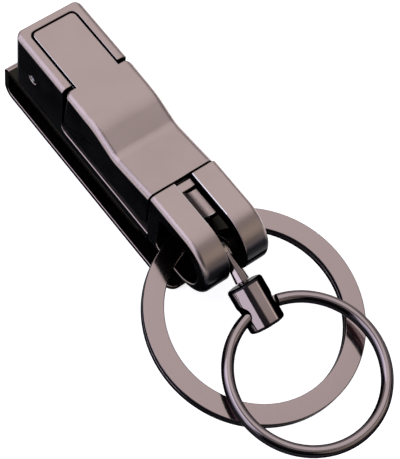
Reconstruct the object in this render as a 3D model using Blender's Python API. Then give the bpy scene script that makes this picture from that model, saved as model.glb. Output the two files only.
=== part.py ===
# Detachable keychain with a belt clip, a press lever, a pull-off fork, two split rings and a swivel.
# It lies on its clip, as on a table: X is its width, +Y its clip end, +Z its front face.
# Lengths are written in millimetres and multiplied by MM. A place on the body is given by its
# distance down from the top end (down) and its depth behind the front face (deep).
import math

import bmesh
import bpy
from mathutils import Matrix, Vector

MM = 0.001

# Body and frame
BODY_WIDTH = 12.2
ORIGIN_DOWN = 20.0
RUNNING_GAP = 0.3
EDGE_ROUND = 0.85
END_ROUND = 0.3
CORNER_ROUND = 1.3
FRAME_LENGTH = 13.1
FRAME_THICKNESS = 1.2
TOP_BAR = 1.4
TONGUE_WIDTH = 7.95
TONGUE_CORNER = 0.8
PLATE_THICKNESS = 1.5
FLOOR_DEEP = 10.6
FLOOR_THICKNESS = 1.6
FLOOR_CORNER = 1.4

# Lever
SHOULDER_GAP = 0.55
SHOULDER_ROUND = 1.0
LEVER_TO_FORK = 0.5
LEVER_SKIN = 1.3
LEVER_WALL = 1.2
LEVER_WALL_DEPTH = 9.4
LEVER_TAIL_DEPTH = 8.8
HOLLOW_START = 21.2
HOLLOW_START_BLEND = 1.6
HOLLOW_DOWN = 26.7
HOLLOW_DOWN_BLEND = 0.8
HOLLOW_DEPTH = 1.75
TAIL_DROP = 0.66
EAR_THICKNESS = 1.0
EAR_LENGTH = 4.5
TAB_GAP = 0.25
TAB_LENGTH = 1.7
TAB_DROP = 0.35
CATCH_LENGTH = 2.0
CATCH_THICKNESS = 0.6
TOOTH_LENGTH = 1.0
TOOTH_HEIGHT = 0.4

# Cross pin
PIN_DOWN = 5.1
PIN_DEEP = 6.4
PIN_DIAMETER = 1.7
PIN_DOME = 0.2

# Return spring
SPRING_TO_TANG = 3.3
SPRING_DIAMETER = 4.2
SPRING_WIRE = 0.5
SPRING_TURNS = 6
SPRING_BOSS = 0.8

# Belt clip
CLIP_SHEET = 1.0
BELT_GAP = 5.0
CLIP_RISE = 2.88
CLIP_LEG_SHORT_OF_FORK = 1.2
CLIP_LEAF_END = 43.2
CLIP_FRONT_BEND = 1.3
CLIP_REAR_BEND = 2.1
CLIP_TIP_ROUND = 1.7

# Clip rivets
RIVET_UPPER_DOWN = 23.4
RIVET_TO_LEG_END = 2.2
RIVET_DIAMETER = 2.0
RIVET_HEAD = 3.2
RIVET_HEAD_HEIGHT = 0.5

# Fork
FORK_TOP = 36.0
FORK_LENGTH = 14.75
FORK_PROUD = 0.1
SLOT_WIDTH = 3.2
SLOT_DEPTH_IN_TANG = 0.8
PRONG_FRONT_WALL = 2.6
PRONG_REAR_WALL = 1.1
PRONG_NOSE_WALL = 2.3
PRONG_TOP_WALL = 2.5
EYE_HOLE_CORNER = 1.2
WEB_BELOW_TOP = 1.9
WEB_LENGTH = 5.1
WEB_DEEP = 1.45
WEB_THICKNESS = 1.4
TANG_WIDTH = 7.4
TANG_FRONT = 4.7
TANG_REAR = 7.7
TANG_LENGTH = 12.0
TANG_ROOT = 1.5
NOTCH_TO_FORK = 6.5
NOTCH_LENGTH = 1.8
NOTCH_DEPTH = 0.8

# Large flat split ring
LARGE_DIAMETER = 35.0
LARGE_BAND = 3.3
LARGE_THICKNESS = 1.85
LARGE_WIRE_X = -0.64
LARGE_WIRE_BELOW_HOLE_TOP = 2.43
LARGE_WIRE_DEEP = 8.91
LARGE_TILT_DEG = 10.1
LARGE_ROLL_DEG = 3.1
LARGE_SPLIT_DEG = 4.0
RING_LAYER_GAP = 0.12
RING_CHAMFER = 0.2

# Swivel
SWIVEL_X = -0.18
SWIVEL_TILT_DEG = 26.0
LINK_BORE = 4.3
LINK_WALL = 1.05
LINK_THICKNESS = 1.7
ARM_WIDTH = 1.8
ARM_ALONG = 5.7
STEM_START = 4.7
STEM_TIP_FLATS = 1.5
STEM_FLATS = 2.8
STEM_PIN = 1.6
STEM_HEAD = 2.8
STEM_HEAD_HEIGHT = 0.6
BARREL_FROM_WIRE = 11.57
BARREL_BEFORE_WIRE = 1.06
BARREL_FLATS = 5.7
BARREL_LENGTH = 7.5
BARREL_HOLE = 3.7
BARREL_HOLE_ALONG = 4.3
BARREL_CAP = 0.9
BARREL_CHAMFER = 0.35

# Small split ring, whose wire rests against the hole's lower front side
SMALL_DIAMETER = 26.3
SMALL_WIRE = 1.95
SMALL_WIRE_PAST_HOLE = 0.4
SMALL_WIRE_BEFORE_HOLE = 0.335
SMALL_TILT_DEG = 7.5
SMALL_SPLIT_DEG = -20.0

# Turns of both split rings: half of the crossover, and the room at the wire's ends
CROSSOVER_DEG = 12.0
WIRE_END_DEG = 3.0

# Sizes that follow from the ones above
HALF = BODY_WIDTH / 2
HOUSING_REAR = FLOOR_DEEP + FLOOR_THICKNESS
FLOOR_END = FORK_TOP + RUNNING_GAP
LEG_FRONT = HOUSING_REAR + RUNNING_GAP
LEAF_BACK = LEG_FRONT + 2 * CLIP_SHEET + BELT_GAP
CLIP_LEG_END = FORK_TOP - CLIP_LEG_SHORT_OF_FORK
RIVET_LOWER_DOWN = CLIP_LEG_END - RIVET_TO_LEG_END
PIN_HOLE = PIN_DIAMETER + 2 * RUNNING_GAP
RIVET_HOLE = RIVET_DIAMETER + 2 * RUNNING_GAP
CAVITY_HALF = HALF - PLATE_THICKNESS
EAR_OUTER = TONGUE_WIDTH / 2
SHOULDER_DOWN = FRAME_LENGTH + SHOULDER_GAP
LEVER_END = FORK_TOP - LEVER_TO_FORK
TAB_WIDTH = SLOT_WIDTH - 2 * TAB_GAP
CATCH_DOWN = FORK_TOP - NOTCH_TO_FORK
FORK_REAR = HOUSING_REAR
NOSE_DOWN = FORK_TOP + FORK_LENGTH
EYE_HOLE_TOP = FORK_TOP + PRONG_TOP_WALL
WEB_TOP = FORK_TOP + WEB_BELOW_TOP
WEB_END = WEB_TOP + WEB_LENGTH
TANG_TOP = FORK_TOP - TANG_LENGTH
SPRING_DOWN = TANG_TOP - SPRING_TO_TANG - SPRING_DIAMETER / 2
LARGE_WIRE_DOWN = EYE_HOLE_TOP + LARGE_WIRE_BELOW_HOLE_TOP
BARREL_DOWN = LARGE_WIRE_DOWN + BARREL_FROM_WIRE
BARREL_DEEP = LARGE_WIRE_DEEP - BARREL_BEFORE_WIRE
SWIVEL_LEAN = math.radians(SWIVEL_TILT_DEG)
ARM_DOWN = LARGE_WIRE_DOWN + ARM_ALONG
ARM_DEEP = BARREL_DEEP - (BARREL_DOWN - ARM_DOWN) * math.tan(SWIVEL_LEAN)
SMALL_WIRE_DOWN = BARREL_DOWN + BARREL_HOLE_ALONG * math.cos(SWIVEL_LEAN) + SMALL_WIRE_PAST_HOLE
SMALL_WIRE_DEEP = BARREL_DEEP + BARREL_HOLE_ALONG * math.sin(SWIVEL_LEAN) - SMALL_WIRE_BEFORE_HOLE


def up(down):
    """Y of a place given by its distance down from the top end."""
    return (ORIGIN_DOWN - down) * MM


def out(deep):
    """Z of a place given by its depth behind the front face."""
    return (LEAF_BACK - deep) * MM


def material(name, color, metallic, roughness):
    made = bpy.data.materials.new(name)
    made.use_nodes = True
    shader = made.node_tree.nodes["Principled BSDF"]
    shader.inputs["Base Color"].default_value = (*color, 1.0)
    shader.inputs["Metallic"].default_value = metallic
    shader.inputs["Roughness"].default_value = roughness
    return made


def new_object(name, bm, finish=None, smooth_deg=30):
    """Turn a bmesh into an object with outward faces, shaded smooth with sharp edges kept."""
    bmesh.ops.recalc_face_normals(bm, faces=bm.faces[:])
    mesh = bpy.data.meshes.new(name)
    bm.to_mesh(mesh)
    bm.free()
    mesh.shade_smooth()
    mesh.set_sharp_from_angle(angle=math.radians(smooth_deg))
    made = bpy.data.objects.new(name, mesh)
    bpy.context.collection.objects.link(made)
    if finish:
        mesh.materials.append(finish)
    return made


def helper(made):
    """Mark an object as a cutter or a shape to join: the model itself leaves it out."""
    made.hide_render = True
    made.display_type = "WIRE"
    return made


def combine(target, other, operation):
    step = target.modifiers.new(operation.lower() + " " + other.name, "BOOLEAN")
    step.operation = operation
    step.solver = "EXACT"
    step.object = helper(other)


def side_profile(points, width, centre_x=0.0):
    """Extrude an outline of (down, deep) points across the width."""
    bm = bmesh.new()
    left = (centre_x - width / 2) * MM
    ring = [bm.verts.new((left, up(down), out(deep))) for down, deep in points]
    face = bm.faces.new(ring)
    grown = bmesh.ops.extrude_face_region(bm, geom=[face])
    moved = [v for v in grown["geom"] if isinstance(v, bmesh.types.BMVert)]
    bmesh.ops.translate(bm, verts=moved, vec=(width * MM, 0, 0))
    return bm


def plan_profile(points, deep_from, deep_to):
    """Extrude an outline of (x, down) points through the depth."""
    bm = bmesh.new()
    ring = [bm.verts.new((x * MM, up(down), out(deep_from))) for x, down in points]
    face = bm.faces.new(ring)
    grown = bmesh.ops.extrude_face_region(bm, geom=[face])
    moved = [v for v in grown["geom"] if isinstance(v, bmesh.types.BMVert)]
    bmesh.ops.translate(bm, verts=moved, vec=(0, 0, out(deep_to) - out(deep_from)))
    return bm


def block(x_from, x_to, down_from, down_to, deep_from, deep_to):
    points = [(x_from, down_from), (x_to, down_from), (x_to, down_to), (x_from, down_to)]
    return plan_profile(points, deep_from, deep_to)


def arc(centre, radius, start_deg, end_deg, steps):
    """Points of an arc in a plane, both ends included."""
    points = []
    for i in range(steps + 1):
        turn = math.radians(start_deg + (end_deg - start_deg) * i / steps)
        points.append((centre[0] + radius * math.cos(turn), centre[1] + radius * math.sin(turn)))
    return points


def rod(diameter, start, end, sides=24, centre=(0.0, 0.0, 0.0), direction=Vector((1, 0, 0))):
    """A round rod along a direction, from start to end millimetres past its centre."""
    bm = bmesh.new()
    bmesh.ops.create_cone(bm, cap_ends=True, segments=sides, radius1=diameter / 2 * MM,
                          radius2=diameter / 2 * MM, depth=(end - start) * MM)
    bmesh.ops.translate(bm, verts=bm.verts, vec=(0, 0, (start + end) / 2 * MM))
    turn = direction.to_track_quat("Z", "Y").to_matrix().to_4x4()
    bmesh.ops.transform(bm, matrix=Matrix.Translation(centre) @ turn, verts=bm.verts)
    return bm


def round_edges(bm, wanted, radius, segments=3):
    edges = [edge for edge in bm.edges if wanted(edge)]
    bmesh.ops.bevel(bm, geom=edges, offset=radius * MM, segments=segments, profile=0.5,
                    affect="EDGES", clamp_overlap=False, material=-1)


def near(value, target):
    return abs(value - target) < 1e-6


def spans(edge, axis, target):
    """True if both ends of an edge lie at target along an axis."""
    return near(edge.verts[0].co[axis], target) and near(edge.verts[1].co[axis], target)


def at_sides(edge):
    return any(spans(edge, 0, side * HALF * MM) for side in (-1, 1))


def turned(profile, sides, phase=0.0):
    """Turn (radius, along) points about Z into a closed solid."""
    bm = bmesh.new()
    rings = []
    for radius, along in profile:
        ring = []
        for i in range(sides):
            angle = phase + 2 * math.pi * i / sides
            ring.append(bm.verts.new((radius * math.cos(angle) * MM, radius * math.sin(angle) * MM, along * MM)))
        rings.append(ring)
    for low, high in zip(rings, rings[1:]):
        for i in range(sides):
            j = (i + 1) % sides
            bm.faces.new((low[i], low[j], high[j], high[i]))
    bm.faces.new(rings[0][::-1])
    bm.faces.new(rings[-1])
    return bm


def make_housing(finish):
    outline = [(0, 0), (FRAME_LENGTH, 0), (FRAME_LENGTH, FLOOR_DEEP - FLOOR_CORNER)]
    outline += arc((FRAME_LENGTH + FLOOR_CORNER, FLOOR_DEEP - FLOOR_CORNER), FLOOR_CORNER, 180, 90, 5)[1:]
    outline += [(FLOOR_END, FLOOR_DEEP), (FLOOR_END, HOUSING_REAR), (0, HOUSING_REAR)]
    bm = side_profile(outline, BODY_WIDTH)
    round_edges(bm, lambda e: at_sides(e) and spans(e, 1, up(0)), CORNER_ROUND, 4)
    top = out(0)
    ends = (up(0), up(FRAME_LENGTH))
    round_edges(bm, lambda e: spans(e, 2, top) and not any(spans(e, 1, end) for end in ends), EDGE_ROUND, 4)
    round_edges(bm, lambda e: spans(e, 2, top) and spans(e, 1, ends[0]), END_ROUND, 2)
    housing = new_object("housing", bm, finish)

    cavity_end = FRAME_LENGTH + FLOOR_CORNER + FRAME_THICKNESS
    cavity = block(-CAVITY_HALF, CAVITY_HALF, TOP_BAR, cavity_end, FRAME_THICKNESS, FLOOR_DEEP)
    combine(housing, new_object("housing_cavity", cavity), "DIFFERENCE")
    half = TONGUE_WIDTH / 2 + RUNNING_GAP
    corner = TONGUE_CORNER + RUNNING_GAP
    low = FRAME_LENGTH + FLOOR_CORNER + FRAME_THICKNESS
    window = [(-half, low)]
    window += [(x, down) for x, down in arc((-half + corner, TOP_BAR + corner), corner, 180, 270, 4)]
    window += [(x, down) for x, down in arc((half - corner, TOP_BAR + corner), corner, 270, 360, 4)]
    window += [(half, low)]
    combine(housing, new_object("housing_window", plan_profile(window, -1, FRAME_THICKNESS + 0.5)), "DIFFERENCE")
    place = (0, up(PIN_DOWN), out(PIN_DEEP))
    combine(housing, new_object("housing_pin_hole", rod(PIN_HOLE, -HALF - 1, HALF + 1, 24, place)), "DIFFERENCE")
    back = Vector((0, 0, -1))
    for down in (RIVET_UPPER_DOWN, RIVET_LOWER_DOWN):
        hole = rod(RIVET_HOLE, -1, FLOOR_THICKNESS + 1, 20, (0, up(down), out(FLOOR_DEEP)), back)
        combine(housing, new_object("housing_rivet_hole", hole), "DIFFERENCE")
    boss_width = SPRING_DIAMETER - 2 * SPRING_WIRE - 2 * RUNNING_GAP
    boss = rod(boss_width, -SPRING_BOSS, 0.5, 20, (0, up(SPRING_DOWN), out(FLOOR_DEEP)), back)
    combine(housing, new_object("housing_spring_boss", boss), "UNION")
    return housing


def bend(down, corner, before, after, blend):
    """A line of two slopes that meet at a corner, with a soft bend over the blend either side of it."""
    past = down - (corner - blend)
    if past <= 0:
        return before * (down - corner)
    if past >= 2 * blend:
        return after * (down - corner)
    return before * (down - corner) + (after - before) * past * past / (4 * blend)


def lever_front(down):
    """Depth of the lever's front face: flat, down a slope to the thumb hollow, then slowly up to its end."""
    fall = HOLLOW_DEPTH / (HOLLOW_DOWN - HOLLOW_START)
    rise = (TAIL_DROP - HOLLOW_DEPTH) / (LEVER_END - HOLLOW_DOWN)
    if down < HOLLOW_DOWN - HOLLOW_DOWN_BLEND:
        return bend(down, HOLLOW_START, 0, fall, HOLLOW_START_BLEND)
    return HOLLOW_DEPTH + bend(down, HOLLOW_DOWN, fall, rise, HOLLOW_DOWN_BLEND)


def lever_line(start, end, added):
    """Points along the lever's front, close together only where it bends."""
    downs = [start]
    for corner, blend in ((HOLLOW_START, HOLLOW_START_BLEND), (HOLLOW_DOWN, HOLLOW_DOWN_BLEND)):
        downs += [corner + blend * (i / 4 - 1) for i in range(9)]
    downs.append(end)
    return [(down, lever_front(down) + added) for down in downs]


def make_lever(finish):
    outline = lever_line(SHOULDER_DOWN, LEVER_END, 0)
    outline += [(LEVER_END, LEVER_TAIL_DEPTH), (SHOULDER_DOWN, LEVER_WALL_DEPTH)]
    bm = side_profile(outline, BODY_WIDTH)

    def front_edge(edge):
        if abs(edge.verts[0].co.x - edge.verts[1].co.x) > HALF * MM:
            return False
        return all(abs(v.co.z - out(lever_front(ORIGIN_DOWN - v.co.y / MM))) < 1e-6 for v in edge.verts)

    round_edges(bm, lambda e: at_sides(e) and spans(e, 1, up(SHOULDER_DOWN)), SHOULDER_ROUND, 4)
    round_edges(bm, front_edge, EDGE_ROUND, 3)
    lever = new_object("lever", bm, finish)

    inner = lever_line(SHOULDER_DOWN + LEVER_WALL, LEVER_END + 1, LEVER_SKIN)
    inner += [(LEVER_END + 1, LEVER_WALL_DEPTH + 2), (SHOULDER_DOWN + LEVER_WALL, LEVER_WALL_DEPTH + 2)]
    hollow = side_profile(inner, BODY_WIDTH - 2 * LEVER_WALL)
    combine(lever, new_object("lever_hollow", hollow), "DIFFERENCE")

    half = TONGUE_WIDTH / 2
    tongue_top = TOP_BAR + RUNNING_GAP
    join_down = SHOULDER_DOWN + 0.5
    tongue = [(-half, join_down)]
    tongue += arc((-half + TONGUE_CORNER, tongue_top + TONGUE_CORNER), TONGUE_CORNER, 180, 270, 4)
    tongue += arc((half - TONGUE_CORNER, tongue_top + TONGUE_CORNER), TONGUE_CORNER, 270, 360, 4)
    tongue += [(half, join_down)]
    combine(lever, new_object("lever_tongue", plan_profile(tongue, 0, LEVER_SKIN)), "UNION")

    ear_reach = PIN_DEEP + EAR_LENGTH / 2
    ear_low = SHOULDER_DOWN + LEVER_WALL + 1.5
    for side in (-1, 1):
        outline = [(PIN_DOWN - EAR_LENGTH / 2, LEVER_SKIN - 0.4)]
        outline += [(down, deep) for down, deep in arc((PIN_DOWN, PIN_DEEP), EAR_LENGTH / 2, 180, 90, 5)]
        outline += [(ear_low, ear_reach), (ear_low, LEVER_SKIN - 0.4)]
        middle = side * (EAR_OUTER - EAR_THICKNESS / 2)
        ear = new_object("lever_ear", side_profile(outline, EAR_THICKNESS, middle))
        combine(lever, ear, "UNION")

    bar_front = TANG_REAR + RUNNING_GAP + TOOTH_HEIGHT
    bar_half = HALF - LEVER_WALL + 0.4
    bar = block(-bar_half, bar_half, CATCH_DOWN - CATCH_LENGTH / 2, CATCH_DOWN + CATCH_LENGTH / 2,
                bar_front, bar_front + CATCH_THICKNESS)
    combine(lever, new_object("lever_catch_bar", bar), "UNION")
    tooth_half = TANG_WIDTH / 2 - 1.5
    tooth = block(-tooth_half, tooth_half, CATCH_DOWN - TOOTH_LENGTH / 2, CATCH_DOWN + TOOTH_LENGTH / 2,
                  bar_front - TOOTH_HEIGHT, bar_front + 0.3)
    combine(lever, new_object("lever_catch_tooth", tooth), "UNION")

    tab = side_profile([(LEVER_END - 1.0, TAIL_DROP + TAB_DROP), (LEVER_END + TAB_LENGTH, TAIL_DROP + TAB_DROP),
                        (LEVER_END + TAB_LENGTH, TAIL_DROP + LEVER_SKIN),
                        (LEVER_END - 1.0, TAIL_DROP + LEVER_SKIN)], TAB_WIDTH)
    combine(lever, new_object("lever_tab", tab), "UNION")
    cup_front = lever_front(SPRING_DOWN) + LEVER_SKIN
    boss_width = SPRING_DIAMETER - 2 * SPRING_WIRE - 2 * RUNNING_GAP
    boss = rod(boss_width, -0.5, SPRING_BOSS, 20, (0, up(SPRING_DOWN), out(cup_front)), Vector((0, 0, -1)))
    combine(lever, new_object("lever_spring_boss", boss), "UNION")
    place = (0, up(PIN_DOWN), out(PIN_DEEP))
    combine(lever, new_object("lever_pin_hole", rod(PIN_HOLE, -HALF, HALF, 24, place)), "DIFFERENCE")
    return lever


def make_pin(finish):
    reach = HALF - PIN_DOME
    radius = PIN_DIAMETER / 2
    profile = [(radius * 0.55, -HALF), (radius * 0.9, -HALF + PIN_DOME * 0.35), (radius, -reach),
               (radius, reach), (radius * 0.9, HALF - PIN_DOME * 0.35), (radius * 0.55, HALF)]
    bm = turned(profile, 24)
    turn = Matrix.Rotation(math.pi / 2, 4, "Y")
    bmesh.ops.transform(bm, matrix=turn, verts=bm.verts)
    pin = new_object("lever_pin", bm, finish)
    pin.location = (0, up(PIN_DOWN), out(PIN_DEEP))
    return pin


def make_spring(finish):
    """Compression spring between the lever's skin and the floor, one unbroken tube with flat ends."""
    low = FLOOR_DEEP - RUNNING_GAP
    high = lever_front(SPRING_DOWN) + LEVER_SKIN + RUNNING_GAP
    height = low - high - SPRING_WIRE
    radius = (SPRING_DIAMETER - SPRING_WIRE) / 2
    steps = 10
    count = SPRING_TURNS * steps
    points = []
    for i in range(count + 1):
        angle = 2 * math.pi * i / steps
        points.append(Vector((radius * math.cos(angle), radius * math.sin(angle), height * i / count)))
    gap = height / SPRING_TURNS - SPRING_WIRE
    print("lever_spring: least gap between its turns is %.2f mm" % gap)
    base = Vector((0, up(SPRING_DOWN), out(low - SPRING_WIRE / 2)))
    curve = bpy.data.curves.new("lever_spring", "CURVE")
    curve.dimensions = "3D"
    curve.bevel_depth = SPRING_WIRE / 2 * MM
    curve.bevel_resolution = 1
    curve.use_fill_caps = True
    spline = curve.splines.new("POLY")
    spline.points.add(len(points) - 1)
    for point, place in zip(spline.points, points):
        point.co = (*(base + place * MM), 1.0)
    spring = bpy.data.objects.new("lever_spring", curve)
    bpy.context.collection.objects.link(spring)
    curve.materials.append(finish)
    return spring


def make_clip(finish):
    """Sheet strip: front leg against the floor, squared U over the top, long rear leaf."""
    front_bend = CLIP_FRONT_BEND
    rear_bend = CLIP_REAR_BEND
    top = -CLIP_RISE
    front = (top + front_bend, LEG_FRONT + front_bend)
    rear = (top + rear_bend, LEAF_BACK - rear_bend)
    points = [(CLIP_LEG_END, LEG_FRONT)]
    points += arc(front, front_bend, 270, 180, 6)
    points += arc(rear, rear_bend, 180, 90, 6)
    points += [(CLIP_LEAF_END, LEAF_BACK), (CLIP_LEAF_END, LEAF_BACK - CLIP_SHEET)]
    points += arc(rear, rear_bend - CLIP_SHEET, 90, 180, 6)
    points += arc(front, front_bend - CLIP_SHEET, 180, 270, 6)
    points += [(CLIP_LEG_END, LEG_FRONT + CLIP_SHEET)]
    bm = side_profile(points, BODY_WIDTH)
    side = HALF * MM
    tip = up(CLIP_LEAF_END)
    leg = up(CLIP_LEG_END)
    round_edges(bm, lambda e: any(spans(e, 0, s) for s in (-side, side)) and (spans(e, 1, tip) or spans(e, 1, leg)),
                CLIP_TIP_ROUND, 4)
    clip = new_object("belt_clip", bm, finish)
    back_way = Vector((0, 0, -1))
    for down in (RIVET_UPPER_DOWN, RIVET_LOWER_DOWN):
        hole = rod(RIVET_HOLE, -1, CLIP_SHEET + 1, 20, (0, up(down), out(LEG_FRONT)), back_way)
        combine(clip, new_object("clip_rivet_hole", hole), "DIFFERENCE")
    return clip


def make_rivet(name, down, finish):
    """Rivet through the floor and the clip's front leg, with a flat head at both ends."""
    start = -RUNNING_GAP - RIVET_HEAD_HEIGHT
    head_face = -RUNNING_GAP
    far_face = FLOOR_THICKNESS + RUNNING_GAP + CLIP_SHEET + RUNNING_GAP
    end = far_face + RIVET_HEAD_HEIGHT
    head = RIVET_HEAD / 2
    shank = RIVET_DIAMETER / 2
    crown = RIVET_HEAD_HEIGHT * 0.4
    profile = [(head * 0.75, start), (head, start + crown), (head, head_face), (shank, head_face),
               (shank, far_face), (head, far_face), (head, end - crown), (head * 0.75, end)]
    rivet = new_object(name, turned(profile, 20), finish)
    rivet.rotation_euler = (math.pi, 0, 0)
    rivet.location = (0, up(down), out(FLOOR_DEEP))
    return rivet


def make_fork(finish):
    nose_radius = (FORK_REAR - FORK_PROUD) / 2
    centre = (NOSE_DOWN - nose_radius, FORK_PROUD + nose_radius)
    rear_top = FLOOR_END + RUNNING_GAP
    step_deep = FLOOR_DEEP - RUNNING_GAP
    outline = [(FORK_TOP, FORK_PROUD)]
    outline += [(centre[0] + nose_radius * math.sin(a), centre[1] - nose_radius * math.cos(a))
                for a in (math.pi * i / 20 for i in range(21))]
    outline += [(rear_top, FORK_REAR), (rear_top, step_deep), (FORK_TOP, step_deep)]
    bm = side_profile(outline, BODY_WIDTH)

    def rim(edge):
        if not at_sides(edge):
            return False
        return not any(near(v.co.z, out(step_deep)) for v in edge.verts)

    round_edges(bm, rim, EDGE_ROUND, 4)
    fork = new_object("fork", bm, finish)

    hole_front = FORK_PROUD + PRONG_FRONT_WALL
    hole_rear = FORK_REAR - PRONG_REAR_WALL
    hole_radius = (hole_rear - hole_front) / 2
    hole_low = NOSE_DOWN - PRONG_NOSE_WALL - hole_radius
    corner = EYE_HOLE_CORNER
    hole = [(hole_low + hole_radius * math.sin(a), hole_front + hole_radius - hole_radius * math.cos(a))
            for a in (math.pi * i / 16 for i in range(17))]
    hole += [(EYE_HOLE_TOP + corner - corner * math.sin(a), hole_rear - corner + corner * math.cos(a))
             for a in (math.radians(22.5 * i) for i in range(5))]
    hole += [(EYE_HOLE_TOP + corner - corner * math.cos(a), hole_front + corner - corner * math.sin(a))
             for a in (math.radians(22.5 * i) for i in range(5))]
    combine(fork, new_object("fork_eye_hole", side_profile(hole, BODY_WIDTH + 2)), "DIFFERENCE")

    tang_half = TANG_WIDTH / 2
    tang = block(-tang_half, tang_half, TANG_TOP, FORK_TOP + TANG_ROOT, TANG_FRONT, TANG_REAR)
    combine(fork, new_object("fork_tang", tang), "UNION")
    notch_half = TANG_WIDTH / 2 - 1.2
    notch = block(-notch_half, notch_half, CATCH_DOWN - NOTCH_LENGTH / 2, CATCH_DOWN + NOTCH_LENGTH / 2,
                  TANG_REAR - NOTCH_DEPTH, TANG_REAR + 1)
    combine(fork, new_object("fork_notch", notch), "DIFFERENCE")
    slot_top = FORK_TOP - SLOT_DEPTH_IN_TANG
    slot = block(-SLOT_WIDTH / 2, SLOT_WIDTH / 2, slot_top, NOSE_DOWN + 1, FORK_PROUD - 1, FORK_REAR + 1)
    combine(fork, new_object("fork_slot", slot), "DIFFERENCE")
    web_back = WEB_DEEP + WEB_THICKNESS
    web = [(WEB_TOP, WEB_DEEP), (WEB_END - WEB_THICKNESS, WEB_DEEP)]
    web += [(WEB_END - WEB_THICKNESS + WEB_THICKNESS * math.sin(a), web_back - WEB_THICKNESS * math.cos(a))
            for a in (math.radians(22.5 * i) for i in range(1, 5))]
    web += [(WEB_TOP, web_back)]
    web_shape = side_profile(web, SLOT_WIDTH + 1.0)
    combine(fork, new_object("fork_web", web_shape), "UNION")
    return fork


def wire_turns(name, wire_radius, section_at, split_deg, count, finish):
    """Two turns of one wire as a closed solid. section_at gives the wire's (outward, along) points,
    from share 0 on the lower layer to share 1 on the upper one, crossing over opposite the wire's ends."""
    start = CROSSOVER_DEG + WIRE_END_DEG
    end = 720 - start
    bm = bmesh.new()
    rings = []
    for i in range(count + 1):
        at = start + (end - start) * i / count
        share = min(1.0, max(0.0, (at - 360 + CROSSOVER_DEG) / (2 * CROSSOVER_DEG)))
        angle = math.radians(90 + split_deg + at)
        ring = []
        for outward, along in section_at(share):
            reach = wire_radius + outward
            ring.append(bm.verts.new((reach * math.cos(angle) * MM, reach * math.sin(angle) * MM, along * MM)))
        rings.append(ring)
    size = len(rings[0])
    for low, high in zip(rings, rings[1:]):
        for i in range(size):
            j = (i + 1) % size
            bm.faces.new((low[i], low[j], high[j], high[i]))
    bm.faces.new(rings[0][::-1])
    bm.faces.new(rings[-1])
    return new_object(name, bm, finish)


def place_ring(ring, wire_x, wire_down, wire_deep, wire_radius, tilt_deg, roll_deg):
    """Put a ring so that the middle of its wire at the top is at the given place."""
    turn = Matrix.Rotation(math.radians(tilt_deg), 4, "X") @ Matrix.Rotation(math.radians(roll_deg), 4, "Y")
    top = Vector((wire_x * MM, up(wire_down), out(wire_deep)))
    ring.matrix_world = Matrix.Translation(top) @ turn @ Matrix.Translation((0, -wire_radius * MM, 0))
    return ring


def make_large_ring(finish):
    """Flat band in two layers, with a small chamfer on every edge."""
    layer = (LARGE_THICKNESS - RING_LAYER_GAP) / 2
    half_band = LARGE_BAND / 2
    half = layer / 2
    c = RING_CHAMFER
    corners = [(half_band, -half + c), (half_band, half - c), (half_band - c, half), (-half_band + c, half),
               (-half_band, half - c), (-half_band, -half + c), (-half_band + c, -half), (half_band - c, -half)]

    def section_at(share):
        rise = (layer + RING_LAYER_GAP) * ((1 - math.cos(math.pi * share)) / 2 - 0.5)
        return [(outward, along + rise) for outward, along in corners]

    radius = LARGE_DIAMETER / 2 - half_band
    ring = wire_turns("large_ring", radius, section_at, LARGE_SPLIT_DEG, 128, finish)
    return place_ring(ring, LARGE_WIRE_X, LARGE_WIRE_DOWN, LARGE_WIRE_DEEP, radius, LARGE_TILT_DEG, LARGE_ROLL_DEG)


def make_small_ring(finish):
    """Half-round wire whose two layers lie flat on flat, so the pair looks like one round wire.
    At the crossover the wire is round: its top rises first, and then its underside."""
    radius = (SMALL_DIAMETER - SMALL_WIRE) / 2
    wire = SMALL_WIRE / 2
    flat = RING_LAYER_GAP / 2
    angles = [math.radians(12 + 26 * i) for i in range(7)]

    def section_at(share):
        top_share = min(1.0, share * 2)
        low_share = max(0.0, share * 2 - 1)
        section = [(wire * math.cos(a), -wire * math.sin(a) * (1 - low_share) + flat * low_share) for a in angles]
        section += [(wire * math.cos(a), -flat * (1 - top_share) + wire * math.sin(a) * top_share)
                    for a in reversed(angles)]
        return section

    ring = wire_turns("small_ring", radius, section_at, SMALL_SPLIT_DEG, 112, finish)
    return place_ring(ring, SWIVEL_X, SMALL_WIRE_DOWN, SMALL_WIRE_DEEP, radius, SMALL_TILT_DEG, 0)


def swivel_frame():
    """A frame whose Z runs down the swivel's axis, at the middle of the barrel's top face."""
    origin = Vector((SWIVEL_X * MM, up(BARREL_DOWN), out(BARREL_DEEP)))
    way = Vector((0, -math.cos(SWIVEL_LEAN), -math.sin(SWIVEL_LEAN)))
    across = Vector((1, 0, 0))
    turn = Matrix((across, way.cross(across), way)).transposed().to_4x4()
    return Matrix.Translation(origin) @ turn


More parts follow.
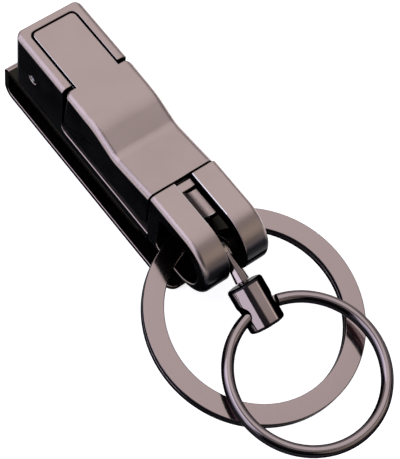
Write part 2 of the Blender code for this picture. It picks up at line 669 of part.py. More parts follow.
def make_swivel_eye(finish):
    """Flat link round the large ring's wire, with an arm that carries the eight-sided stem."""
    wire = (LARGE_WIRE_DOWN, LARGE_WIRE_DEEP)
    outer = LINK_BORE / 2 + LINK_WALL
    link = new_object("swivel_eye", side_profile(arc(wire, outer, 0, 345, 23), LINK_THICKNESS, SWIVEL_X), finish)
    run = (ARM_DOWN - wire[0], ARM_DEEP - wire[1])
    length = math.hypot(*run)
    ahead = (run[0] / length, run[1] / length)
    aside = (-ahead[1] * ARM_WIDTH / 2, ahead[0] * ARM_WIDTH / 2)
    base = (wire[0] + ahead[0] * (outer - 0.6), wire[1] + ahead[1] * (outer - 0.6))
    heading = math.degrees(math.atan2(ahead[1], ahead[0]))
    arm = [(base[0] - aside[0], base[1] - aside[1])]
    arm += arc((ARM_DOWN, ARM_DEEP), ARM_WIDTH / 2, heading - 90, heading + 90, 8)
    arm += [(base[0] + aside[0], base[1] + aside[1])]
    combine(link, new_object("swivel_arm", side_profile(arm, LINK_THICKNESS - 0.1, SWIVEL_X)), "UNION")
    tip = STEM_TIP_FLATS / 2 / math.cos(math.pi / 8)
    flats = STEM_FLATS / 2 / math.cos(math.pi / 8)
    pin = STEM_PIN / 2
    head = STEM_HEAD / 2
    cap_end = BARREL_CAP + RUNNING_GAP
    arm_along = -(BARREL_DOWN - ARM_DOWN) / math.cos(SWIVEL_LEAN)
    profile = [(tip, arm_along), (tip, -STEM_START), (flats, -RUNNING_GAP), (pin, -RUNNING_GAP),
               (pin, cap_end), (head, cap_end), (head, cap_end + STEM_HEAD_HEIGHT)]
    stem = new_object("swivel_stem", turned(profile, 8, math.pi / 8))
    stem.matrix_world = swivel_frame()
    combine(link, stem, "UNION")
    place = (0, up(wire[0]), out(wire[1]))
    combine(link, new_object("swivel_bore", rod(LINK_BORE, -HALF, HALF, 28, place)), "DIFFERENCE")
    return link


def make_barrel(finish):
    """Eight-sided barrel: a capped top that the stem turns in, room for the stem's head and a cross hole."""
    reach = BARREL_FLATS / 2 / math.cos(math.pi / 8)
    c = BARREL_CHAMFER
    barrel = new_object("swivel_barrel", turned([(reach - c, 0), (reach, c), (reach, BARREL_LENGTH - c),
                                                 (reach - c, BARREL_LENGTH)], 8, math.pi / 8), finish)
    barrel.matrix_world = swivel_frame()
    bore = STEM_PIN / 2 + RUNNING_GAP
    room = STEM_HEAD / 2 + RUNNING_GAP
    cavity = new_object("barrel_cavity", turned([(bore, -1), (bore, BARREL_CAP), (room, BARREL_CAP),
                                                 (room, BARREL_HOLE_ALONG)], 20))
    cavity.matrix_world = swivel_frame()
    combine(barrel, cavity, "DIFFERENCE")
    hole = swivel_frame() @ Vector((0, 0, BARREL_HOLE_ALONG * MM))
    cross = new_object("barrel_cross_hole", rod(BARREL_HOLE, -BARREL_FLATS, BARREL_FLATS, 32, hole))
    combine(barrel, cross, "DIFFERENCE")
    return barrel


def main():
    for old in list(bpy.data.objects):
        bpy.data.objects.remove(old, do_unlink=True)
    satin = material("satin gunmetal", (0.38, 0.33, 0.33), 1.0, 0.38)
    dark = material("dark gunmetal", (0.10, 0.09, 0.10), 1.0, 0.35)
    polished = material("polished black nickel", (0.34, 0.29, 0.30), 1.0, 0.16)
    steel = material("spring steel", (0.55, 0.55, 0.56), 1.0, 0.3)
    make_housing(satin)
    make_lever(satin)
    make_pin(dark)
    make_spring(steel)
    make_clip(dark)
    make_rivet("clip_rivet_upper", RIVET_UPPER_DOWN, dark)
    make_rivet("clip_rivet_lower", RIVET_LOWER_DOWN, dark)
    make_fork(satin)
    make_large_ring(polished)
    make_swivel_eye(polished)
    make_barrel(polished)
    make_small_ring(polished)


main()
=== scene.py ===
# Detachable keychain: the looks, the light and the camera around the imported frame.
# It lies on its clip: +X is its width, +Y its clip end, +Z its front face.
import math

import bmesh
import bpy
from mathutils import Matrix, Vector


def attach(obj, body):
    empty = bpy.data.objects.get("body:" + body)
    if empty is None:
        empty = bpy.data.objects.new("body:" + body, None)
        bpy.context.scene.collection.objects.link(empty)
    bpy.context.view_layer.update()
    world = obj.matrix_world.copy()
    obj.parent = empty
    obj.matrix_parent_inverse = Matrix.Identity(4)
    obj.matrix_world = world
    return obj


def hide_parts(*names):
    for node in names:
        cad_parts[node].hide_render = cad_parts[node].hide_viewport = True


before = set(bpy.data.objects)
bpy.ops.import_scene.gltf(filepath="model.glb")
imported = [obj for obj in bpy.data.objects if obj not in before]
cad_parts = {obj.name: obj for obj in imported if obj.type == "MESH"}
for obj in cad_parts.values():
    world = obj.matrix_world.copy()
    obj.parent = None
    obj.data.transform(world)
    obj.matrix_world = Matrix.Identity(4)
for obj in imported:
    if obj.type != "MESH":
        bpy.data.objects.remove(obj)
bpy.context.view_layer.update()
print("frame loaded:", len(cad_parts), "nodes")

mm = 0.001
gap = 0.3  # clearance between neighbours
past = 1.0  # how far a cutter runs beyond what it cuts
sharpFrom = 32  # degrees, and flatter edges are shaded smooth and not softened
samePlace = 1e-7  # metres, and values closer than this count as equal
merge = dict(shape=0.002, ring=0.001, piece=0.0005)  # points closer than this, in mm, become one
steps = dict(corner=10, rim=8, soft=3, turned=40, bore=48, fine=64, ring=150)  # faces round each curve
body = dict(width=12.2, originDown=20.0, leafBack=19.5, floorFront=10.6, rear=12.2)
halfBody = body["width"] / 2


# A place is given by its distance down from the top end and its depth behind the front face
def up(down):
    return (body["originDown"] - down) * mm


def out(deep):
    return (body["leafBack"] - deep) * mm


def same(value, wanted):
    return abs(value - wanted) < samePlace


# Corners are (a, b, radius), and each radius is made by bevelling its vertex
def flatShape(corners, toPoint, segments=steps["corner"]):
    bm = bmesh.new()
    verts = [bm.verts.new(toPoint(a, b)) for a, b, radius in corners]
    bm.faces.new(verts)
    for vert, (a, b, radius) in zip(verts, corners):
        if radius:
            bmesh.ops.bevel(bm, geom=[vert], offset=radius * mm, offset_type="OFFSET", segments=segments,
                            profile=0.5, affect="VERTICES", clamp_overlap=False, material=-1)
    bmesh.ops.remove_doubles(bm, verts=bm.verts[:], dist=merge["shape"] * mm)
    return bm


def grow(bm, way):
    grown = bmesh.ops.extrude_face_region(bm, geom=bm.faces[:])
    moved = [item for item in grown["geom"] if isinstance(item, bmesh.types.BMVert)]
    bmesh.ops.translate(bm, verts=moved, vec=way)
    bmesh.ops.recalc_face_normals(bm, faces=bm.faces[:])
    return bm


# Side view outline of (down, deep, radius), given its width
def sideSlab(corners, width, centreX=0.0, segments=steps["corner"]):
    left = (centreX - width / 2) * mm
    bm = flatShape(corners, lambda down, deep: (left, up(down), out(deep)), segments)
    return grow(bm, (width * mm, 0, 0))


# Block across the middle of the body, with its two upper corners rounded
def planBlock(half, top, end, deepFrom, deepTo, radius=0):
    corners = [(-half, top, radius), (half, top, radius), (half, end, 0), (-half, end, 0)]
    bm = flatShape(corners, lambda x, down: (x * mm, up(down), out(deepFrom)))
    return grow(bm, (0, 0, (deepFrom - deepTo) * mm))


# Spins (radius, along) points about Z; the profile starts and ends on the axis
def turned(profile, count=steps["turned"]):
    bm = bmesh.new()
    verts = [bm.verts.new((radius * mm, 0, along * mm)) for radius, along in profile]
    edges = [bm.edges.new(pair) for pair in zip(verts, verts[1:])]
    bmesh.ops.spin(bm, geom=verts + edges, cent=(0, 0, 0), axis=(0, 0, 1), angle=2 * math.pi, steps=count,
                   use_merge=True)
    bmesh.ops.remove_doubles(bm, verts=bm.verts[:], dist=merge["shape"] * mm)
    bmesh.ops.recalc_face_normals(bm, faces=bm.faces[:])
    return bm


# Round bar along Z of a matrix, centred on it
def bar(radius, length, matrix, segments=steps["bore"]):
    bm = bmesh.new()
    bmesh.ops.create_cone(bm, cap_ends=True, segments=segments, radius1=radius * mm, radius2=radius * mm,
                          depth=length * mm, matrix=matrix)
    return bm


# Places with their Z along the width, and from the front face to the back
def across(down, deep, x=0.0):
    return Matrix.Translation((x * mm, up(down), out(deep))) @ Matrix.Rotation(math.pi / 2, 4, "Y")


def through(down, deep):
    return Matrix.Translation((0, up(down), out(deep))) @ Matrix.Rotation(math.pi, 4, "X")


def roundRim(bm, test, radius, segments=steps["rim"]):
    edges = [edge for edge in bm.edges if test(edge)]
    bmesh.ops.bevel(bm, geom=edges, offset=radius * mm, offset_type="OFFSET", segments=segments, profile=0.5,
                    affect="EDGES", clamp_overlap=False, material=-1)


# True where an edge lies on one flank, left or right
def onFlank(edge):
    return any(all(same(vert.co.x, side * halfBody * mm) for vert in edge.verts) for side in (-1, 1))


def atY(edge, down):
    return all(same(vert.co.y, up(down)) for vert in edge.verts)


def atZ(edge, deep):
    return all(same(vert.co.z, out(deep)) for vert in edge.verts)


# Rounds coordinates, so that faces meant to lie in one plane do, and merges doubles
def fill(mesh, bm):
    for vert in bm.verts:
        vert.co = [round(value, 8) for value in vert.co]
    bmesh.ops.remove_doubles(bm, verts=bm.verts[:], dist=merge["piece"] * mm)
    bmesh.ops.dissolve_degenerate(bm, edges=bm.edges[:], dist=merge["piece"] * mm)
    bm.to_mesh(mesh)
    bm.free()


def makeObject(name, bm):
    mesh = bpy.data.meshes.new(name)
    fill(mesh, bm)
    made = bpy.data.objects.new(name, mesh)
    bpy.context.collection.objects.link(made)
    return made


# Applies a piece's modifiers to its mesh
def settle(piece, clean=True):
    graph = bpy.context.evaluated_depsgraph_get()
    done = bpy.data.meshes.new_from_object(piece.evaluated_get(graph), preserve_all_data_layers=True,
                                           depsgraph=graph)
    if clean:
        bm = bmesh.new()
        bm.from_mesh(done)
        fill(done, bm)
    old = piece.data
    piece.modifiers.clear()
    piece.data = done
    bpy.data.meshes.remove(old)


# Marks the rim's edges, full along the body and less across it, where endShare is the least
def markRim(bm, test, endShare):
    weights = bm.edges.layers.float.new("bevel_weight_edge")
    for edge in bm.edges:
        if test(edge):
            way = (edge.verts[0].co - edge.verts[1].co).normalized()
            edge[weights] = 1 - (1 - endShare) * abs(way.x)


def roundMarked(piece, radius, segments=steps["rim"]):
    step = piece.modifiers.new("rim", "BEVEL")
    step.width = radius * mm
    step.segments = segments
    step.limit_method = "WEIGHT"
    step.use_clamp_overlap = False
    settle(piece)
    piece.data.attributes.remove(piece.data.attributes["bevel_weight_edge"])


# Cuts helpers out of a piece or joins them to it, one after the other, and removes them
def shape(piece, operation, *helpers):
    for helper in helpers:
        step = piece.modifiers.new(operation.lower(), "BOOLEAN")
        step.operation = operation
        step.solver = "EXACT"
        step.object = helper
        settle(piece)
        bpy.data.objects.remove(helper, do_unlink=True)


def cut(piece, *cutters):
    shape(piece, "DIFFERENCE", *[makeObject("cutter", bm) for bm in cutters])


def join(piece, *added):
    shape(piece, "UNION", *[makeObject("added", bm) for bm in added])


# Takes the sharpness off the edges that point outward
def soften(piece, width, degrees=sharpFrom):
    bm = bmesh.new()
    bm.from_mesh(piece.data)
    weights = bm.edges.layers.float.new("bevel_weight_edge")
    for edge in bm.edges:
        edge[weights] = edge.is_convex and edge.calc_face_angle(0) > math.radians(degrees)
    bm.to_mesh(piece.data)
    bm.free()
    roundMarked(piece, width, steps["soft"])


# Smooth rounds, and normals that keep the large faces flat.
# A face gets the first of the other finishes whose test holds.
def dress(piece, finish, *others):
    piece.data.materials.append(finish)
    for other, test in others:
        piece.data.materials.append(other)
    for face in piece.data.polygons:
        held = [slot for slot, (other, test) in enumerate(others, 1) if test(face)]
        face.material_index = held[0] if held else 0
    piece.data.shade_smooth()
    piece.data.set_sharp_from_angle(angle=math.radians(sharpFrom))
    step = piece.modifiers.new("flat faces", "WEIGHTED_NORMAL")
    step.keep_sharp = True
    settle(piece, clean=False)


def seat(piece, bodyName, node):
    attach(piece, bodyName)
    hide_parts(node)


# Finishes
platingLook = dict(driftScale=240, driftDetail=4, driftLow=0.3, driftHigh=0.7, grainDetail=3,
                   grainStrength=0.35)


def newFinish(name):
    finish = bpy.data.materials.new(name)
    finish.use_nodes = True
    return finish, finish.node_tree.nodes, finish.node_tree.links


# Inputs 6 and 7 and output 2 are the node's colour sockets
def mixed(nodes, links, share, low, high):
    mix = nodes.new("ShaderNodeMix")
    mix.data_type = "RGBA"
    for socket, value in ((mix.inputs["Factor"], share), (mix.inputs[6], low), (mix.inputs[7], high)):
        if isinstance(value, tuple):
            socket.default_value = (*value, 1)
        else:
            links.new(value, socket)
    return mix.outputs[2]


def ranged(nodes, links, value, fromLow, fromHigh, toLow, toHigh):
    step = nodes.new("ShaderNodeMapRange")
    step.interpolation_type = "SMOOTHSTEP"
    limits = {"From Min": fromLow, "From Max": fromHigh, "To Min": toLow, "To Max": toHigh}
    for name, number in limits.items():
        step.inputs[name].default_value = number
    links.new(value, step.inputs["Value"])
    return step.outputs["Result"]


# 1 on what faces the front and 0 on the flanks, from |normal x| times across plus |normal z|, where the
# painted shade takes over towards 0
def frontShare(nodes, links, place, side):
    parts = nodes.new("ShaderNodeSeparateXYZ")
    links.new(place.outputs["Normal"], parts.inputs["Vector"])
    facing = nodes.new("ShaderNodeMath")
    facing.operation = "MULTIPLY_ADD"
    facing.inputs[1].default_value = side["across"]
    for axis, socket in (("X", 0), ("Z", 2)):
        size = nodes.new("ShaderNodeMath")
        size.operation = "ABSOLUTE"
        links.new(parts.outputs[axis], size.inputs[0])
        links.new(size.outputs[0], facing.inputs[socket])
    return ranged(nodes, links, facing.outputs[0], side["dark"], side["full"], 0, 1)


# Plated metal: slow colour drift, uneven roughness and a fine grain. With a side colour the plating
# keeps its own colour on what faces the front and turns to painted shade on the flanks.
def plating(name, low, high, roughness, spread, grain, grainDepth, stretch=(1, 1, 1), side=None, rim=1.0):
    look = platingLook
    finish, nodes, links = newFinish(name)
    shader = nodes["Principled BSDF"]
    shader.inputs["Metallic"].default_value = 1.0
    shader.inputs["Specular Tint"].default_value = (rim, rim, rim, 1)
    place = nodes.new("ShaderNodeTexCoord")
    drift = nodes.new("ShaderNodeTexNoise")
    drift.inputs["Scale"].default_value = look["driftScale"]
    drift.inputs["Detail"].default_value = look["driftDetail"]
    links.new(place.outputs["Object"], drift.inputs["Vector"])
    colour = mixed(nodes, links, drift.outputs["Fac"], low, high)
    if side:
        share = frontShare(nodes, links, place, side)
        colour = mixed(nodes, links, share, side["colour"], colour)
    links.new(colour, shader.inputs["Base Color"])
    uneven = ranged(nodes, links, drift.outputs["Fac"], look["driftLow"], look["driftHigh"],
                    roughness - spread, roughness + spread)
    links.new(uneven, shader.inputs["Roughness"])
    stretched = nodes.new("ShaderNodeMapping")
    stretched.inputs["Scale"].default_value = stretch
    links.new(place.outputs["Object"], stretched.inputs["Vector"])
    fine = nodes.new("ShaderNodeTexNoise")
    fine.inputs["Scale"].default_value = grain
    fine.inputs["Detail"].default_value = look["grainDetail"]
    links.new(stretched.outputs["Vector"], fine.inputs["Vector"])
    bump = nodes.new("ShaderNodeBump")
    bump.inputs["Strength"].default_value = look["grainStrength"]
    bump.inputs["Distance"].default_value = grainDepth * mm
    links.new(fine.outputs["Fac"], bump.inputs["Height"])
    links.new(bump.outputs["Normal"], shader.inputs["Normal"])
    return finish


# Painted shade: a finish given one of these turns to its colour on faces that turn away from the front
casePaintedShade = dict(across=0.35, dark=0.42, full=0.82, edge=0.12, colour=(0.01, 0.01, 0.013))
# The rings and the swivel get the same painted shade on their walls
largeRingPaintedShade = dict(across=0.0, dark=0.2, full=0.72, colour=(0.012, 0.011, 0.013))
smallRingPaintedShade = dict(across=0.0, dark=0.6, full=0.97, colour=(0.012, 0.011, 0.013))
swivelPaintedShade = dict(across=0.0, dark=0.25, full=0.58, colour=(0.012, 0.011, 0.013))
satinGunmetal = plating("satin gunmetal", (0.37, 0.29, 0.285), (0.41, 0.32, 0.31), 0.34, 0.04, 5200, 0.008,
                        stretch=(1, 0.4, 1), side=casePaintedShade)
# Painted shade for the flanks and walls of the plated pieces, and for the pin's end outside its dimple
paintedShadeFlank = plating("painted shade on flanks", (0.009, 0.009, 0.011), (0.013, 0.013, 0.016), 0.3, 0.05, 5200, 0.008,
                    rim=0.37)
# Dark steel of the clip and the rivets, and painted shade in the fork's hole and on the ring between the
# prongs
darkSteelAndPaintedShade = plating("dark steel and painted shade", (0.016, 0.014, 0.012), (0.024, 0.021, 0.018), 0.3, 0.05, 4200, 0.008,
                    rim=0.35)
pinSteel = plating("pin steel", (0.2, 0.2, 0.21), (0.26, 0.26, 0.27), 0.2, 0.04, 4200, 0.004, rim=0.5)
ringNickel = plating("large ring black nickel", (0.325, 0.25, 0.25), (0.355, 0.275, 0.275), 0.12, 0.03, 2600,
                     0.002, side=largeRingPaintedShade, rim=0.7)
blackNickel = plating("polished black nickel", (0.42, 0.335, 0.335), (0.46, 0.365, 0.365), 0.12, 0.03, 2600,
                      0.002, side=swivelPaintedShade, rim=0.4)
smallRingNickel = plating("small ring black nickel", (0.31, 0.25, 0.26), (0.35, 0.28, 0.29), 0.12, 0.03,
                          2600, 0.002, side=smallRingPaintedShade, rim=0.3)
# Painted shade for the swivel link's eye and arm up in the fork's slot
paintedShadeLinkNickel = plating("link black nickel with painted shade", (0.04, 0.035, 0.035), (0.07, 0.06, 0.06), 0.12, 0.03, 2600,
                     0.002, rim=0.6)
# Painted shade for the swivel barrel's ends and right flats
paintedShadeBarrelNickel = plating("barrel black nickel with painted shade", (0.012, 0.01, 0.012), (0.02, 0.017, 0.02), 0.12, 0.03, 2600, 0.002,
                    rim=0.1)
# Painted highlight for narrow edges
paintedEdgeHighlight = plating("painted edge highlight", (0.58, 0.55, 0.56), (0.66, 0.63, 0.64), 0.25, 0.04, 4200, 0.004)
springWire = plating("spring wire", (0.42, 0.42, 0.43), (0.5, 0.5, 0.5), 0.28, 0.05, 3000, 0.004)
print("finishes made")

# A soft edge's faces look partly to the front and partly to the side
edgeFaces = dict(slack=0.01, least=0.15, most=0.98)


# Faces turned to the side, which take the painted shade of the flank finish
def onSide(face):
    return face.normal.z < casePaintedShade["edge"]


# True on the soft edge, that wide, which runs down the body at this distance either side of its middle
def onEdge(face, x, width):
    lies = -edgeFaces["slack"] * mm < (abs(face.center.x) - x * mm) < width * mm
    turnedOut = edgeFaces["least"] < abs(face.normal.x) < edgeFaces["most"]
    return lies and turnedOut and face.normal.z > edgeFaces["least"]


# Housing
housingSizes = dict(frameLength=13.1, frameThickness=1.2, topBar=1.4, wall=1.5, edge=1.1, endShare=0.3,
                    corner=1.3, floorEnd=36.3, floorCorner=1.4, cavityCorner=0.6, windowWidth=8.65,
                    windowCorner=1.1, pinDown=5.1, pinDeep=6.4, pinHole=1.0, pinCut=20.0, rivetHole=1.3,
                    rivetCut=6.0, softEdge=0.14)


def makeHousing():
    s = housingSizes
    low = s["frameLength"]
    bm = sideSlab([(0, 0, 0), (low, 0, 0), (low, body["floorFront"], s["floorCorner"]),
                   (s["floorEnd"], body["floorFront"], 0), (s["floorEnd"], body["rear"], 0),
                   (0, body["rear"], 0)], body["width"])
    roundRim(bm, lambda edge: onFlank(edge) and atY(edge, 0), s["corner"])
    markRim(bm, lambda edge: atZ(edge, 0) and not atY(edge, low), s["endShare"])
    housing = makeObject("housing_case", bm)
    roundMarked(housing, s["edge"])
    openEnd = low + 3 * past
    cavity = planBlock(halfBody - s["wall"], s["topBar"], openEnd, s["frameThickness"], body["floorFront"],
                       s["cavityCorner"])
    window = planBlock(s["windowWidth"] / 2, s["topBar"], openEnd, -past, s["frameThickness"] + past / 2,
                       s["windowCorner"])
    holes = [bar(s["pinHole"], s["pinCut"], across(s["pinDown"], s["pinDeep"]))]
    for down in rivetSizes["downs"]:
        holes.append(bar(s["rivetHole"], s["rivetCut"], through(down, body["rear"])))
    cut(housing, cavity, window, *holes)
    soften(housing, s["softEdge"])
    dress(housing, satinGunmetal, (paintedShadeFlank, onSide))
    seat(housing, "holder", "housing")


# Lever: its tongue sits in the housing's window and its ears on the cross pin. Inside, a bar carries the
# tooth of the catch.
leverSizes = dict(shoulderDown=13.65, shoulderCorner=1.2, end=35.5, skin=1.3, wall=1.2, wallDepth=9.4,
                  tailDepth=8.8, rearCorner=0.8, hollowStart=21.2, startBlend=1.6, hollowDown=26.7,
                  downBlend=0.8, hollowDepth=1.75, blendSteps=20, tailDrop=0.66, edge=1.1, endShare=0.25,
                  softEdge=0.12,
                  tongue=dict(width=7.9, top=1.7, corner=0.8, lap=0.5),
                  ear=dict(reach=2.25, inner=2.975, outer=3.975, front=0.9, tail=1.5),
                  tab=dict(width=2.7, length=2.05, drop=0.5, root=1.0, lap=0.1, slope=0.5, slopeCorner=0.3,
                           tipCorner=0.15, under=0.3),
                  bar=dict(top=28.5, end=30.5, front=8.4, rear=9.0, lap=0.4),
                  tooth=dict(half=2.2, top=29.0, end=30.0, rear=8.7))
nearFront = 1e-6  # metres, for points compared with the lever's front worked out again


# Two slopes that meet at a corner, with a soft bend over the blend either side of it
def slopes(down, corner, before, after, blend):
    gone = down - (corner - blend)
    if gone <= 0:
        return before * (down - corner)
    if gone >= 2 * blend:
        return after * (down - corner)
    return before * (down - corner) + (after - before) * gone * gone / (4 * blend)


# Depth of the front face: flat, down a slope to the thumb hollow, then slowly up to its end
def leverFront(down):
    s = leverSizes
    fall = s["hollowDepth"] / (s["hollowDown"] - s["hollowStart"])
    rise = (s["tailDrop"] - s["hollowDepth"]) / (s["end"] - s["hollowDown"])
    if down < s["hollowDown"] - s["downBlend"]:
        return slopes(down, s["hollowStart"], 0, fall, s["startBlend"])
    return s["hollowDepth"] + slopes(down, s["hollowDown"], fall, rise, s["downBlend"])


def frontLine(start, end, added):
    s = leverSizes
    count = s["blendSteps"]
    downs = [start]
    for corner, blend in ((s["hollowStart"], s["startBlend"]), (s["hollowDown"], s["downBlend"])):
        downs += [corner + blend * (2 * i / count - 1) for i in range(count + 1)]
    downs.append(end)
    return [(down, leverFront(down) + added, 0) for down in downs]


def onFront(vert):
    down = body["originDown"] - vert.co.y / mm
    return abs(vert.co.z - out(leverFront(down))) < nearFront


# The long edges of the front face and the one across its shoulder
def frontEdge(edge):
    if abs(edge.verts[0].co.x - edge.verts[1].co.x) > halfBody * mm:
        return atZ(edge, 0) and atY(edge, leverSizes["shoulderDown"])
    return all(onFront(vert) for vert in edge.verts)


def makeTongue():
    s = leverSizes["tongue"]
    return planBlock(s["width"] / 2, s["top"], leverSizes["shoulderDown"] + s["lap"], 0, leverSizes["skin"],
                     s["corner"])


def makeEar(side):
    s = leverSizes["ear"]
    top = housingSizes["pinDown"] - s["reach"]
    rear = housingSizes["pinDeep"] + s["reach"]
    low = leverSizes["shoulderDown"] + leverSizes["wall"] + s["tail"]
    middle = side * (s["inner"] + s["outer"]) / 2
    return sideSlab([(top, s["front"], 0), (low, s["front"], 0), (low, rear, 0), (top, rear, s["reach"])],
                    s["outer"] - s["inner"], middle)


# Small tab that goes on under the lever's tail
def makeTab():
    s = leverSizes["tab"]
    end = leverSizes["end"]
    inside = end - s["root"]
    top = leverSizes["tailDrop"] + s["drop"]
    low = leverSizes["tailDrop"] + leverSizes["skin"]
    return sideSlab([(inside, low - s["lap"], 0), (end + s["lap"], low - s["lap"], 0),
                     (end + s["slope"], top, s["slopeCorner"]), (end + s["length"], top, s["tipCorner"]),
                     (end + s["length"], low + s["under"], 0), (inside, low + s["under"], 0)], s["width"])


# Bar between the lever's walls, and on it the tooth that stands clear of the fork's tang by the gap
def makeCatch():
    cross, tooth = leverSizes["bar"], leverSizes["tooth"]
    barHalf = halfBody - leverSizes["wall"] + cross["lap"]
    toothFront = forkSizes["tang"]["rear"] + gap
    return [planBlock(barHalf, cross["top"], cross["end"], cross["front"], cross["rear"]),
            planBlock(tooth["half"], tooth["top"], tooth["end"], toothFront, tooth["rear"])]


def makeLever():
    s = leverSizes
    top, end = s["shoulderDown"], s["end"]
    corners = frontLine(top, end, 0)
    corners += [(end, s["tailDepth"], s["rearCorner"]), (top, s["wallDepth"], s["rearCorner"])]
    bm = sideSlab(corners, body["width"])
    roundRim(bm, lambda edge: atY(edge, top) and onFlank(edge), s["shoulderCorner"])
    markRim(bm, frontEdge, s["endShare"])
    lever = makeObject("lever_plate", bm)
    roundMarked(lever, s["edge"])
    openRear = s["wallDepth"] + 2 * past
    inner = frontLine(top + s["wall"], end + past, s["skin"])
    inner += [(end + past, openRear, 0), (top + s["wall"], openRear, 0)]
    cut(lever, sideSlab(inner, body["width"] - 2 * s["wall"]))
    join(lever, makeTongue(), makeEar(-1), makeEar(1), makeTab(), *makeCatch())
    onPin = across(housingSizes["pinDown"], housingSizes["pinDeep"])
    cut(lever, bar(housingSizes["pinHole"], housingSizes["pinCut"], onPin))
    soften(lever, s["softEdge"])
    edgeFrom = s["tongue"]["width"] / 2 - s["softEdge"]

    def onTongueEdge(face):
        return onEdge(face, edgeFrom, s["softEdge"])

    # Painted highlight on the tongue's long edges
    dress(lever, satinGunmetal, (paintedEdgeHighlight, onTongueEdge), (paintedShadeFlank, onSide))
    seat(lever, "lever_body", "lever")


# Cross pin with a dimple in each end
pinSizes = dict(radius=0.85, end=6.1, dimple=0.42, dimpleDepth=0.3, bendOut=0.7, bendDeep=0.8, lip=0.03,
                lipWidth=0.1, edge=0.14, edgeTop=0.04)


def makePin():
    s = pinSizes
    end, radius, dimple = s["end"], s["radius"], s["dimple"]
    side = [(0, end - s["dimpleDepth"]), (dimple * s["bendOut"], end - s["dimpleDepth"] * s["bendDeep"]),
            (dimple, end - s["lip"]), (dimple + s["lipWidth"], end), (radius - s["edge"], end),
            (radius - s["edgeTop"], end - s["edgeTop"]), (radius, end - s["edge"])]
    otherSide = [(reach, -along) for reach, along in side]
    bm = turned(otherSide + side[::-1])
    place = across(housingSizes["pinDown"], housingSizes["pinDeep"])
    bmesh.ops.transform(bm, matrix=place, verts=bm.verts)
    pin = makeObject("lever_cross_pin", bm)

    # Painted shade: the pin's end outside the dimple takes the flank finish, and the dimple keeps the
    # lighter steel
    def outsideDimple(face):
        return (face.center - place.translation).yz.length > (dimple + s["lipWidth"]) * mm

    dress(pin, pinSteel, (paintedShadeFlank, outsideDimple))
    seat(pin, "holder", "lever_pin")


# Rivets of the clip. The crown is (share of the head's radius, share of its height)
rivetSizes = dict(downs=(23.4, 32.6), shank=1.0, head=1.6, headHeight=0.5,
                  crown=[(0.0, 1.0), (0.55, 0.94), (0.85, 0.7), (0.97, 0.4), (1.0, 0.12), (0.98, 0.0)])


def makeRivets():
    s = rivetSizes
    far = body["rear"] - body["floorFront"] + gap + clipSizes["sheet"] + gap
    crown = s["crown"]
    front = [(s["head"] * share, -gap - s["headHeight"] * height) for share, height in crown]
    back = [(s["head"] * share, far + s["headHeight"] * height) for share, height in reversed(crown)]
    profile = front + [(s["shank"], -gap), (s["shank"], far)] + back
    for name, down in zip(("clip_rivet_upper", "clip_rivet_lower"), s["downs"]):
        bm = turned(profile)
        bmesh.ops.transform(bm, matrix=through(down, body["floorFront"]), verts=bm.verts)
        rivet = makeObject(name + "_headed", bm)
        dress(rivet, darkSteelAndPaintedShade)
        seat(rivet, "holder", name)


# Belt clip
clipSizes = dict(sheet=1.0, top=-2.88, legEnd=34.8, leafEnd=43.2, frontBend=1.3, rearBend=2.1, bendSteps=12,
                 tip=1.7, holeCut=2.6, softEdge=0.1,
                 paintedHighlight=dict(topDown=0.5, bendDeep=15.0, leafDeep=17.0, front=0.1, least=0.2, most=0.98))


# Painted highlight: the top of the bend and the leaf's forward edges take the satin finish
def paintedHighlight(face):
    s = clipSizes["paintedHighlight"]
    above = face.center.y > up(s["topDown"]) and face.center.z > out(s["bendDeep"])
    leafEdge = face.center.z < out(s["leafDeep"]) and s["least"] < abs(face.normal.x) < s["most"]
    return face.normal.z > s["front"] and (above or leafEdge)


def makeClip():
    s = clipSizes
    front, back, top, sheet = body["rear"] + gap, body["leafBack"], s["top"], s["sheet"]
    frontBend, rearBend = s["frontBend"], s["rearBend"]
    bm = sideSlab([(s["legEnd"], front, 0), (top, front, frontBend), (top, back, rearBend),
                   (s["leafEnd"], back, 0), (s["leafEnd"], back - sheet, 0),
                   (top + sheet, back - sheet, rearBend - sheet),
                   (top + sheet, front + sheet, frontBend - sheet), (s["legEnd"], front + sheet, 0)],
                  body["width"], segments=s["bendSteps"])

    def atTip(edge):
        return onFlank(edge) and (atY(edge, s["leafEnd"]) or atY(edge, s["legEnd"]))

    roundRim(bm, atTip, s["tip"])
    clip = makeObject("belt_clip_strip", bm)
    holePlaces = [through(down, front + sheet / 2) for down in rivetSizes["downs"]]
    cut(clip, *[bar(housingSizes["rivetHole"], s["holeCut"], place) for place in holePlaces])
    soften(clip, s["softEdge"])
    dress(clip, darkSteelAndPaintedShade, (satinGunmetal, paintedHighlight))
    seat(clip, "holder", "belt_clip")


# Fork: two prongs with a hole through both, a slot and a web between them, and a tang in the body
forkSizes = dict(top=36.0, proud=0.1, nose=50.75, noseSteps=28, edge=0.85, slot=3.2, slotTop=35.2,
                 slotCorner=0.3, softEdge=0.16,
                 hole=dict(top=38.5, corner=1.2, frontWall=2.6, rearWall=1.1, noseWall=2.3, steps=24,
                           slack=0.05, wallTurn=0.5),
                 web=dict(top=37.9, end=43.0, deep=1.45, thick=1.4, lap=0.5, rise=1.1, foot=0.35,
                          footCorner=0.7, chamfer=0.45, chamferCorner=0.1, fall=0.8),
                 tang=dict(width=7.4, front=4.7, rear=7.7, top=24.0, root=37.5, corner=0.8, notchFrom=28.6,
                           notchTo=30.4, notchDepth=0.8, notchMargin=1.2))


# The web's section: a slope on the left, a flat, and a chamfer on the right
def makeWeb():
    s = forkSizes["web"]
    flat, back, side = s["deep"], s["deep"] + s["thick"], forkSizes["slot"] / 2
    high, low, lap = flat - s["rise"], flat + s["fall"], side + s["lap"]
    corners = [(-lap, high, 0), (-side, high, 0), (-s["foot"], flat, s["footCorner"]),
               (side - s["chamfer"], flat, s["chamferCorner"]), (side, low, 0), (lap, low, 0),
               (lap, back, 0), (-lap, back, 0)]
    web = flatShape(corners, lambda x, deep: (x * mm, up(s["top"]), out(deep)))
    return grow(web, (0, (s["top"] - s["end"]) * mm, 0))


